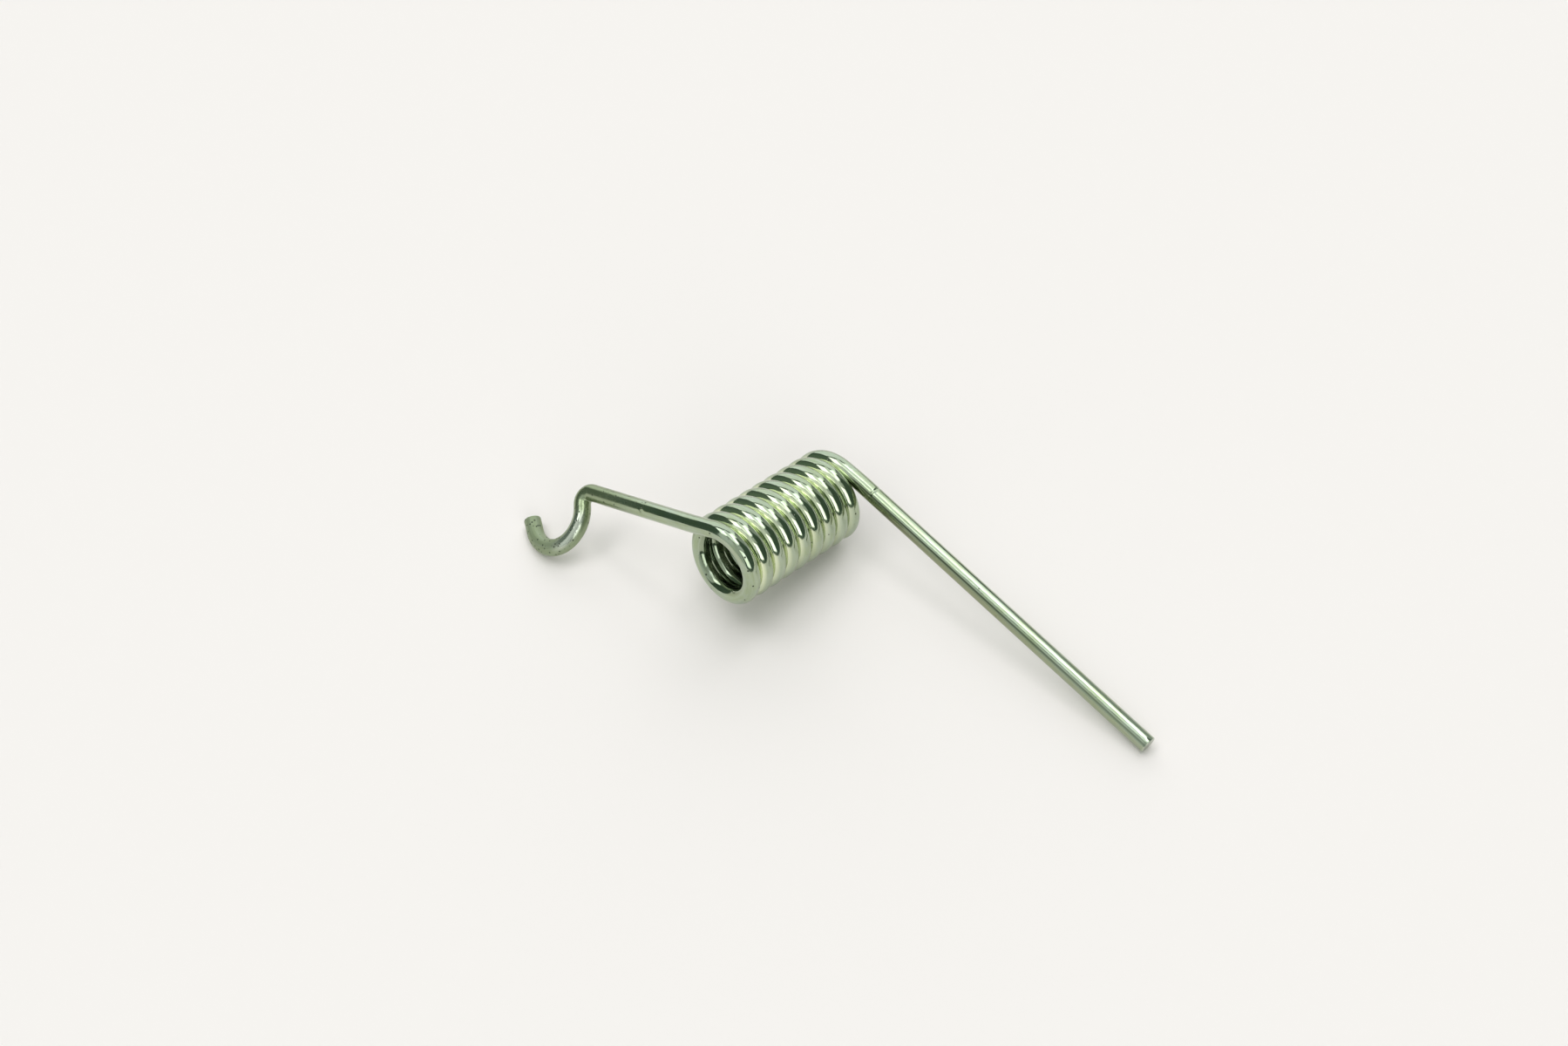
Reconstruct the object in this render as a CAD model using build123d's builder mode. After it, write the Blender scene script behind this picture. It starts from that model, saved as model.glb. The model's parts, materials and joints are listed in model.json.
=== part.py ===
from build123d import *
from math import atan2, degrees, pi
import os

# Torsion spring: one length of zinc-plated round spring wire, wound close and right-handed,
# with a long straight leg at the rear and a hooked leg at the front. Millimetres.

# Wire
wire_diameter = 3.0
end_break = 0.2

# Coil, sized by the pin that it runs on
inside_diameter = 10.0
turn_gap = 0.1
full_turns = 9
leg_angle = 148.0
ease_radius = 80.0

# Long leg
long_leg_length = 63.5

# Hook leg: a straight run, a tight neck, a short shank, the bow of the hook and its end
hook_leg_length = 23.0
hook_twist = 42.0
neck_radius = 1.65
neck_angle = 119.0
shank_length = 0.6
bow_radius = 5.6
bow_angle = 165.0
hook_end_length = 2.7

# Worked out from the sizes above
wire_radius = wire_diameter / 2
coil_radius = (inside_diameter + wire_diameter) / 2
pitch = wire_diameter + turn_gap
turns = full_turns + (180 - leg_angle) / 360
lead_angle = degrees(atan2(pitch, 2 * pi * coil_radius))
coil_axis = Vector(0, 0, 1)


def outward(point):
    # Direction from the coil's axis to a point on its wire
    return Vector(point.X, point.Y, 0).normalized()


def points_along(path, steps):
    return [path @ (i / steps) for i in range(steps + 1)]


# Centreline of the coil, about Z, climbing from the long leg at +X to the hook leg
with BuildLine() as coil_line:
    coil = Helix(pitch=pitch, height=pitch * turns, radius=coil_radius)

# Centreline of the long leg: a gentle bend takes out the lead of the last turn,
# then the leg runs straight, square to the coil's axis
with BuildLine() as long_run:
    ease = JernArc((0, 0), (1, 0), ease_radius, -lead_angle)
    straight = Line(ease @ 1, ease @ 1 + (ease % 1) * long_leg_length)
long_root = Plane(origin=coil @ 0, x_dir=-(coil % 0), z_dir=outward(coil @ 0))
long_line = long_root.from_local_coords(long_run.wire())

# The hook leg leaves the other end of the coil by the same gentle bend
with BuildLine() as hook_ease:
    JernArc((0, 0), (1, 0), ease_radius, -lead_angle)
hook_root = Plane(origin=coil @ 1, x_dir=coil % 1, z_dir=outward(coil @ 1))
ease_line = hook_root.from_local_coords(hook_ease.wire())

# Centreline of the hook leg, drawn flat: the neck turns one way and the bow turns back.
# Its plane is then twisted about the leg, which brings the hook out in front of the coil
with BuildLine() as hook_run:
    leg = Line((0, 0), (hook_leg_length, 0))
    neck = JernArc(leg @ 1, leg % 1, neck_radius, neck_angle)
    shank = Line(neck @ 1, neck @ 1 + (neck % 1) * shank_length)
    bow = JernArc(shank @ 1, shank % 1, bow_radius, -bow_angle)
    Line(bow @ 1, bow @ 1 + (bow % 1) * hook_end_length)
leg_way = ease_line % 1
hook_across = coil_axis.rotate(Axis((0, 0, 0), leg_way), hook_twist)
hook_plane = Plane(origin=ease_line @ 1, x_dir=leg_way, z_dir=hook_across)
hook_line = hook_plane.from_local_coords(hook_run.wire())

# The wire follows its centreline from the coil out to both ends
with BuildPart() as wound:
    with BuildSketch(Plane(origin=coil @ 0, z_dir=coil % 0)):
        Circle(wire_radius)
    sweep(path=coil_line.wire(), is_frenet=True)
    with BuildSketch(Plane(origin=long_line @ 0, z_dir=long_line % 0)):
        Circle(wire_radius)
    sweep(path=long_line)
    with BuildSketch(Plane(origin=ease_line @ 0, z_dir=ease_line % 0)):
        Circle(wire_radius)
    sweep(path=ease_line)
    with BuildSketch(Plane(origin=hook_line @ 0, z_dir=hook_line % 0)):
        Circle(wire_radius)
    sweep(path=hook_line)
    # The shears leave a small break round both cut ends
    chamfer(wound.faces().filter_by(GeomType.PLANE).edges(), length=end_break)

# Left on a table, the spring lies on three points: the long leg's tip, the bow of the hook
# and one turn of the coil. The table is turned until it meets all three
tip = long_line @ 1
hook_points = points_along(hook_line, 400)
coil_points = points_along(coil_line.wire(), 200 * full_turns)
down = -outward(coil @ 0)
for trial in range(12):
    bow_foot = max(hook_points, key=lambda point: point.dot(down))
    coil_foot = max(coil_points, key=lambda point: point.dot(down))
    table = (bow_foot - tip).cross(coil_foot - tip).normalized()
    down = table if table.dot(down) > 0 else -table
lying = Plane(origin=(0, 0, 0), x_dir=coil_axis.cross(down), z_dir=-down)

# At rest: +Z up from the table, the coil's axis runs back along +Y with the hook in front,
# and the long leg points along +X. The origin is on the table, in the middle
with BuildPart() as torsion_spring:
    laid = lying.to_local_coords(wound.part)
    room = laid.bounding_box()
    add(laid.moved(Location((-room.center().X, -room.center().Y, -room.min.Z))))

torsion_spring.part.label = "torsion_spring"
os.makedirs("parts", exist_ok=True)
export_step(torsion_spring.part, "parts/torsion_spring.step")
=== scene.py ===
import bpy
import bmesh
import json
from math import atan2, cos, pi, radians, sin, sqrt, tan
from mathutils import Matrix, Vector


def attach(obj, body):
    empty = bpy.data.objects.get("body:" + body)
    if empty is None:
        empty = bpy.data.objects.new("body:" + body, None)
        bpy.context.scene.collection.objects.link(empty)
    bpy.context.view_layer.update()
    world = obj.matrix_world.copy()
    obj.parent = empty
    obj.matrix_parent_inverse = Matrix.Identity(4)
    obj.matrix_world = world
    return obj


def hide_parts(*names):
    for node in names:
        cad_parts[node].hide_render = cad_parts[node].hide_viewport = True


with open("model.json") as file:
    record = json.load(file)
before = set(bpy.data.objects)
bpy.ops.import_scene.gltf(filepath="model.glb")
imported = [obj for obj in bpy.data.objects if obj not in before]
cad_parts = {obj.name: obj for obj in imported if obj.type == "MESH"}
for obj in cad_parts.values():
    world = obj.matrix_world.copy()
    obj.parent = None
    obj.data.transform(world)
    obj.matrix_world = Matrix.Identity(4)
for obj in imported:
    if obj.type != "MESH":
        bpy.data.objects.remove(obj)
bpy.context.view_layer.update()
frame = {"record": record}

# The wire: one length of round spring wire, drawn hard and then zinc plated. It is drawn here
# the way a spring coiler makes it, fed along and bent station by station from the long leg's
# tip, through the coil, to the cut end of the hook.
wire_radius = 0.0015
coil_radius = 0.0065
pitch = 0.0031
full_turns, last_part = 9, 32 / 360
lead = atan2(pitch, 2 * pi * coil_radius)
ease_radius = 0.080
long_leg = 0.0635
hook_leg = 0.0230
hook_twist = radians(42)
neck_radius, neck_angle = 0.00165, radians(119)
shank = 0.0006
bow_radius, bow_angle = 0.0056, radians(165)
hook_end = 0.0027
half_length = 0.24687
sides = 56

mounts = {mount["name"]: mount for mount in frame["record"]["mounts"]}
leg_way = Vector(mounts["long_leg"]["axis"]).normalized()
coil_way = Vector(mounts["coil_bore"]["axis"])
coil_way = (coil_way - coil_way.dot(leg_way) * leg_way).normalized()
tip = Vector(mounts["long_leg"]["pos_m"]) + leg_way * long_leg / 2
inward = coil_way.cross(-leg_way)
pen = Matrix((inward, coil_way, -leg_way)).transposed().to_4x4()
pen.translation = tip

wire = bmesh.new()
drawn = 0.0


def run(step, stride, steps):
    # Draw the wire on by equal steps, each a move in the wire's own frame. Every point keeps
    # its place in the straight wire: how far along it lies and where in the round
    global pen, drawn
    stretch = bmesh.new()
    place = stretch.verts.layers.float_vector.new("drawn")
    bmesh.ops.create_circle(stretch, cap_ends=False, segments=sides, radius=wire_radius)
    for vert in stretch.verts:
        vert[place] = (drawn, vert.co.x, vert.co.y)
    bmesh.ops.transform(stretch, matrix=pen, verts=stretch.verts)
    ring = list(stretch.edges)
    for station in range(steps):
        grown = bmesh.ops.extrude_edge_only(stretch, edges=ring)["geom"]
        fresh = [part for part in grown if isinstance(part, bmesh.types.BMVert)]
        ring = [part for part in grown if isinstance(part, bmesh.types.BMEdge)]
        bmesh.ops.transform(stretch, matrix=pen @ step @ pen.inverted(), verts=fresh)
        pen = pen @ step
        drawn += stride
        for vert in fresh:
            vert[place] = (drawn, vert[place].y, vert[place].z)
    length = bpy.data.meshes.new("length_of_wire")
    stretch.to_mesh(length)
    stretch.free()
    wire.from_mesh(length)
    bpy.data.meshes.remove(length)


def feed(length, steps):
    run(Matrix.Translation((0, 0, length / steps)), length / steps, steps)


def bend(angle, radius, towards, steps):
    turn = Matrix.Rotation(towards, 4, "Z")
    centre = Matrix.Translation((radius, 0, 0))
    swing = Matrix.Rotation(angle / steps, 4, "Y")
    run(turn @ centre @ swing @ centre.inverted() @ turn.inverted(), radius * angle / steps, steps)


def wind(rounds, steps):
    along = Vector((0, cos(lead), sin(lead)))
    centre = Matrix.Translation((coil_radius, 0, 0))
    swing = Matrix.Rotation(2 * pi * rounds / steps, 4, along)
    climb = Matrix.Translation(along * pitch * rounds / steps)
    stride = rounds * sqrt(pitch ** 2 + (2 * pi * coil_radius) ** 2) / steps
    run(climb @ centre @ swing @ centre.inverted(), stride, steps)


leg_root = 0.0025
feed(long_leg - leg_root, 60)
feed(leg_root, 20)
bend(lead, ease_radius, pi / 2, 12)
for turn in range(full_turns):
    wind(1, 72)
wind(last_part, 7)
bend(lead, ease_radius, -pi / 2, 12)
feed(hook_leg, 120)
bend(neck_angle, neck_radius, hook_twist, 24)
feed(shank, 2)
bend(bow_angle, bow_radius, hook_twist + pi, 60)
feed(hook_end, 8)

# Both ends are sheared off square. The edge is a little rounder at the hook's end
bmesh.ops.remove_doubles(wire, verts=wire.verts, dist=1e-6)
rims = [edge for edge in wire.edges if edge.is_boundary]
caps = bmesh.ops.holes_fill(wire, edges=rims, sides=0)["faces"]
hook_cap, tip_cap = sorted(caps, key=lambda face: face.calc_center_median().x)
for cap, edge_round in ((hook_cap, 0.00012), (tip_cap, 0.00006)):
    bmesh.ops.bevel(
        wire, geom=list(cap.edges), offset=edge_round, segments=2,
        affect="EDGES", profile=0.5, material=-1,
    )
bmesh.ops.recalc_face_normals(wire, faces=wire.faces)
wire.normal_update()
place = wire.verts.layers.float_vector["drawn"]


def press(along, around, length, width, depth):
    # A mark of a bending tool: the skin of the wire is pushed in, most at its middle. The place
    # is in metres along the wire and in degrees round it from the side towards the coil's axis
    for vert in wire.verts:
        off = (vert[place].x - along) / length
        if abs(off) < 1:
            turned = atan2(vert[place].z, vert[place].y) - radians(around)
            side = wire_radius * atan2(sin(turned), cos(turned)) / width
            vert.co -= vert.normal * depth * max(0, 1 - off ** 2 - side ** 2) ** 2


press(0.0622, 165, 0.00032, 0.0026, 0.00010)
press(0.0628, 80, 0.0004, 0.0005, 0.00008)
press(0.4571, 103, 0.0006, 0.0006, 0.00012)
press(0.4474, 85, 0.0007, 0.0005, 0.00012)
press(0.4562, 92, 0.0010, 0.0004, 0.00007)
press(0.4748, 85, 0.0003, 0.0018, 0.00012)
press(0.4784, 100, 0.0005, 0.0010, 0.00006)
press(0.0629, 58, 0.0004, 0.0004, 0.00014)
for face in wire.faces:
    face.smooth = len(face.verts) == 4
mesh = bpy.data.meshes.new("torsion_spring_wire")
wire.to_mesh(mesh)
wire.free()
spring = bpy.data.objects.new("torsion_spring_wire", mesh)
bpy.context.scene.collection.objects.link(spring)

# The zinc is thin and shows the wire's drawing lines. It is grey and bright where hands and
# tools rub it, and dull and pitted at the hook. Painted light is laid on it too: a highlight on
# the rims of the cut ends, a yellow-green reflection of the next turn between the turns, and
# shade on the bore side and under the long leg
plate = bpy.data.materials.new("zinc_plate")
plate.use_nodes = True
nodes, links = plate.node_tree.nodes, plate.node_tree.links
shader = nodes["Principled BSDF"]


def put(kind, **settings):
    made = nodes.new(kind)
    for name, value in settings.items():
        setattr(made, name, value)
    return made


def calc(operation, first, second=0):
    made = put("ShaderNodeMath", operation=operation)
    for socket, value in zip(made.inputs, (first, second)):
        if isinstance(value, (int, float)):
            socket.default_value = value
        else:
            links.new(value, socket)
    return made.outputs[0]


def plus(first, second):
    return calc("ADD", first, second)


def minus(first, second):
    return calc("SUBTRACT", first, second)


def times(first, second):
    return calc("MULTIPLY", first, second)


def ramp(value, low, high, start, end):
    made = put("ShaderNodeMapRange", interpolation_type="SMOOTHSTEP")
    links.new(value, made.inputs["Value"])
    made.inputs["From Min"].default_value, made.inputs["From Max"].default_value = low, high
    made.inputs["To Min"].default_value, made.inputs["To Max"].default_value = start, end
    return made.outputs["Result"]


def noise(vector, scale, stretch=(1, 1, 1), detail=3.0, rough=0.55):
    spread = put("ShaderNodeMapping")
    spread.inputs["Scale"].default_value = stretch
    links.new(vector, spread.inputs["Vector"])
    made = put("ShaderNodeTexNoise")
    links.new(spread.outputs["Vector"], made.inputs["Vector"])
    made.inputs["Scale"].default_value = scale
    made.inputs["Detail"].default_value = detail
    made.inputs["Roughness"].default_value = rough
    return made.outputs["Fac"]


def blend(amount, first, second):
    made = put("ShaderNodeMix", data_type="RGBA")
    colour_sockets = made.inputs[0], made.inputs[6], made.inputs[7]
    for socket, value in zip(colour_sockets, (amount, first, second)):
        if isinstance(value, (int, float)):
            socket.default_value = value
        elif isinstance(value, tuple):
            socket.default_value = (*value, 1)
        else:
            links.new(value, socket)
    return made.outputs[2]


straight = put("ShaderNodeAttribute", attribute_name="drawn").outputs["Vector"]
in_round = put("ShaderNodeSeparateXYZ")
links.new(straight, in_round.inputs[0])
along, inner, flank = in_round.outputs
solid = put("ShaderNodeTexCoord").outputs["Object"]
in_room = put("ShaderNodeSeparateXYZ")
links.new(solid, in_room.inputs[0])


def length_of_wire(rise_start, rise_end, fall_start, fall_end):
    # One length of the wire with soft ends, in metres from the long leg's tip
    rise = ramp(along, rise_start, rise_end, 0.0, 1.0)
    return times(rise, ramp(along, fall_start, fall_end, 1.0, 0.0))


def towards(inner_share, flank_share):
    # How far the skin lies out from the wire's middle, in one direction across the wire
    return plus(times(inner, inner_share), times(flank, flank_share))


drawing_lines = noise(straight, 1, stretch=(170, 2300, 2300), detail=4.0, rough=0.65)
clouds = noise(solid, 330, detail=5.0, rough=0.6)
ripple = noise(solid, 900, detail=2.0)
grain = noise(solid, 5200, detail=2.0)
to_hook = ramp(along, 0.452, 0.468, 0.0, 1.0)
on_bow = ramp(along, 0.4735, 0.4840, 0.0, 1.0)

# Between the turns, each turn mirrors the next one on either flank: a painted reflection in
# yellow-green, strongest on the upper half of the coil. The bore side is painted darker, as
# painted shade
upper_flank = ramp(flank, 0.35 * wire_radius, 0.88 * wire_radius, 0.0, 1.0)
lower_flank = ramp(flank, -0.95 * wire_radius, -0.40 * wire_radius, 0.7, 0.0)
turn_reflection_band = plus(
    times(length_of_wire(0.064, 0.074, 0.396, 0.404), upper_flank),
    times(length_of_wire(0.104, 0.112, 0.437, 0.443), lower_flank),
)
turn_reflection_band = times(turn_reflection_band, ramp(in_room.outputs["Z"], 0.009, 0.017, 0.35, 1.0))
painted_turn_reflection = times(turn_reflection_band, ramp(inner, -0.0009, 0.0004, 1.0, 0.0))
in_coil = length_of_wire(0.064, 0.074, 0.437, 0.443)
painted_bore_shade = times(in_coil, ramp(inner, 0.0, 0.0012, 0.0, 1.0))

# Rubbed bright on the side of the hook that its rod slid over
near_rod = length_of_wire(0.4752, 0.4775, 0.4815, 0.4850)
facing_rod = ramp(towards(-0.34, 0.94), 0.70 * wire_radius, 0.95 * wire_radius, 0.0, 0.8)
rod_rub = times(near_rod, facing_rod)

# The rims of the two sheared ends are bright too, partly worn bare and partly a painted
# highlight, and the cut faces within them are dull
from_middle = put("ShaderNodeVectorMath", operation="LENGTH")
across = put("ShaderNodeCombineXYZ")
links.new(inner, across.inputs["X"])
links.new(flank, across.inputs["Y"])
links.new(across.outputs[0], from_middle.inputs[0])
at_rim = ramp(from_middle.outputs["Value"], 0.86 * wire_radius, 0.92 * wire_radius, 0.0, 1.0)
from_half = calc("ABSOLUTE", minus(along, half_length))
at_end = ramp(from_half, 0.24668, 0.24674, 0.0, 1.0)
rim_wear_and_highlight = times(times(at_rim, at_end), ramp(along, 0.1, 0.4, 0.3, 1.0))
rubbed = calc("MAXIMUM", rod_rub, rim_wear_and_highlight)
cut_face = times(ramp(from_half, 0.24684, 0.24686, 0.0, 1.0), minus(1.0, at_rim))

# A painted dark line runs along the front of the long leg, standing for the dark band the leg
# mirrors there, and below it the lower flank is painted darker as painted shade; both fade
# towards its tip
on_leg = ramp(along, 0.0655, 0.0680, 1.0, 0.0)
at_dark_line = ramp(towards(-0.50, 0.866), 0.9880 * wire_radius, 0.9980 * wire_radius, 0.0, 1.0)
painted_dark_line = times(times(on_leg, at_dark_line), ramp(along, 0.0, 0.045, 0.5, 0.95))
below_dark_line = ramp(towards(0.26, 0.966), 0.72 * wire_radius, 0.86 * wire_radius, 0.0, 1.0)
painted_leg_shade = times(times(on_leg, below_dark_line), ramp(along, 0.0, 0.045, 0.35, 0.8))

# Pits: a few cells of a fine pattern, more of them at the hook
cells = put("ShaderNodeTexVoronoi")
cells.inputs["Scale"].default_value = 1700
links.new(solid, cells.inputs["Vector"])
chance = put("ShaderNodeSeparateColor")
links.new(cells.outputs["Color"], chance.inputs[0])
chance_here = plus(times(to_hook, 0.16), times(on_bow, 0.26))
picked = calc("GREATER_THAN", plus(chance.outputs[0], chance_here), 0.982)
pits = times(picked, ramp(cells.outputs["Distance"], 0.18, 0.36, 1.0, 0.0))

colour = blend(ramp(clouds, 0.35, 0.68, 0.0, 1.0), (0.372, 0.443, 0.328), (0.353, 0.424, 0.262))
colour = blend(to_hook, colour, blend(clouds, (0.275, 0.335, 0.205), (0.240, 0.295, 0.150)))
# Painted reflection: the turns' flanks are lightened to yellow-green where each mirrors the next
# turn
colour = blend(painted_turn_reflection, colour, (0.87, 0.93, 0.64))
# Painted shade: the side of the wire facing the bore is darkened
colour = blend(times(painted_bore_shade, 0.6), colour, (0.20, 0.24, 0.15))
bright_lines = ramp(drawing_lines, 0.35, 0.7, 0.0, 0.45)
bright_lines = times(bright_lines, ramp(along, 0.452, 0.468, 1.0, 0.45))
colour = blend(bright_lines, colour, (0.50, 0.57, 0.46))
colour = blend(ramp(drawing_lines, 0.25, 0.42, 0.35, 0.0), colour, (0.22, 0.28, 0.18))
# Painted dark line along the long leg, standing for the dark band it mirrors there
colour = blend(painted_dark_line, colour, (0.07, 0.09, 0.05))
# Painted shade: the long leg's lower flank is darkened to olive
colour = blend(painted_leg_shade, colour, (0.25, 0.275, 0.16))
colour = blend(rod_rub, colour, (0.66, 0.70, 0.60))
# Bright rims of the cut ends: partly worn bare, partly a painted highlight
colour = blend(rim_wear_and_highlight, colour, (0.86, 0.90, 0.76))
colour = blend(times(cut_face, 0.85), colour, (0.17, 0.205, 0.105))
colour = blend(times(pits, 0.92), colour, (0.035, 0.045, 0.025))
links.new(colour, shader.inputs["Base Color"])

# The hook is dull, the rest is polished. Its dull skin also hides some of the metal
dull = plus(times(to_hook, 0.13), times(on_bow, 0.20))
dull = times(dull, minus(1.0, rubbed))
dull = plus(dull, times(drawing_lines, 0.07))
dull = plus(dull, times(ramp(clouds, 0.4, 0.8, 0.0, 1.0), 0.05))
dull = plus(dull, times(pits, 0.3))
links.new(plus(dull, 0.06), shader.inputs["Roughness"])
chalky = plus(times(to_hook, 0.15), times(on_bow, 0.45))
chalky = times(chalky, minus(1.0, rod_rub))
# The bright rims, partly wear and partly a painted highlight, also lose some of their metal
chalky = calc("MAXIMUM", chalky, times(rim_wear_and_highlight, 0.75))
links.new(minus(1.0, chalky), shader.inputs["Metallic"])

height = minus(times(drawing_lines, 0.6), pits)
height = plus(height, times(grain, 0.12))
height = plus(height, times(ripple, 0.35))
relief = put("ShaderNodeBump")
relief.inputs["Strength"].default_value = 0.6
relief.inputs["Distance"].default_value = 0.00003
links.new(height, relief.inputs["Height"])
links.new(relief.outputs["Normal"], shader.inputs["Normal"])
mesh.materials.append(plate)

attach(spring, "root")
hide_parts("torsion_spring")

# The floor: a plain pale table top of matt card, much wider than the picture. The spring
# lies loose on it and throws its soft shadow there
half_width = 60.0
floor_mesh = bpy.data.meshes.new("table")
table = bmesh.new()
bmesh.ops.create_grid(table, x_segments=1, y_segments=1, size=half_width)
table.to_mesh(floor_mesh)
table.free()
floor = bpy.data.objects.new("table", floor_mesh)
bpy.context.scene.collection.objects.link(floor)
card = bpy.data.materials.new("pale_table")
card.use_nodes = True
card_shader = card.node_tree.nodes["Principled BSDF"]
card_shader.inputs["Base Color"].default_value = (0.948, 0.893, 0.855, 1)
card_shader.inputs["Roughness"].default_value = 0.9
card_shader.inputs["Specular IOR Level"].default_value = 0.0
floor_mesh.materials.append(card)


# The light: soft boxes 14 m away, each set by its direction and spread in degrees and by its
# level. A bright box stands in front on the right, wide ones hang overhead, where the turns
# mirror them as bright streaks, and paler ones fill in
def soft_box(name, azimuth, elevation, width, height, level):
    reach = 14.0
    lamp = bpy.data.lights.new(name, "AREA")
    lamp.shape = "RECTANGLE"
    lamp.size = 2 * reach * tan(radians(width / 2))
    lamp.size_y = 2 * reach * tan(radians(height / 2))
    lamp.energy = level * pi * lamp.size * lamp.size_y
    lamp.color = (1.0, 1.0, 1.04)
    box = bpy.data.objects.new(name, lamp)
    box.matrix_world = (
        Matrix.Rotation(radians(azimuth), 4, "Z")
        @ Matrix.Rotation(radians(90 - elevation), 4, "X")
        @ Matrix.Translation((0, 0, reach))
    )
    bpy.context.scene.collection.objects.link(box)


soft_box("front_box", 60, 28, 30, 38, 2.05)
soft_box("front_upper_fill", 72, 56, 36, 14, 0.52)
soft_box("overhead_box", 0, 90, 46, 46, 1.14)
soft_box("front_overhead_box", 50, 77, 40, 24, 0.30)
soft_box("right_overhead_box", 130, 75, 27, 16, 1.7)
soft_box("left_overhead_box", -56, 63, 32, 20, 2.25)
soft_box("rear_overhead_box", -178, 64, 14, 31, 2.4)
soft_box("left_fill", -134, 29, 66, 54, 1.14)
soft_box("front_fill", 5, 31, 53, 62, 0.50)
soft_box("front_left_fill", -9, 31, 30, 60, 0.15)
soft_box("rear_fill", 176, 25, 24, 46, 0.35)

# What the plate mirrors between the boxes is a dim green-grey room
world = bpy.data.worlds.new("studio")
bpy.context.scene.world = world
world.use_nodes = True
world.node_tree.nodes["Background"].inputs["Color"].default_value = (0.085, 0.125, 0.095, 1)

# The camera: at the photograph's angle, looking down on the coil from the hook's side. Its
# lens is the one that the fit to the outline found, in pixels of the photograph
azimuth, elevation, roll = radians(46.655), radians(52.589), radians(-4.272)
aim = Vector((-0.0150, 0.0062, 0.0110))
distance = 0.363
focal_pixels, photo_width = 2470.7, 1799
lens_data = bpy.data.cameras.new("camera")
lens_data.sensor_width = 36.0
lens_data.lens = lens_data.sensor_width * focal_pixels / photo_width
lens_data.clip_start = 0.01
camera = bpy.data.objects.new("camera", lens_data)
view = (
    Matrix.Rotation(azimuth, 4, "Z")
    @ Matrix.Rotation(pi / 2 - elevation, 4, "X")
    @ Matrix.Rotation(roll, 4, "Z")
)
camera.matrix_world = Matrix.Translation(aim) @ view @ Matrix.Translation((0, 0, distance))
bpy.context.scene.collection.objects.link(camera)
bpy.context.scene.camera = camera
bpy.context.scene.view_settings.view_transform = "Standard"
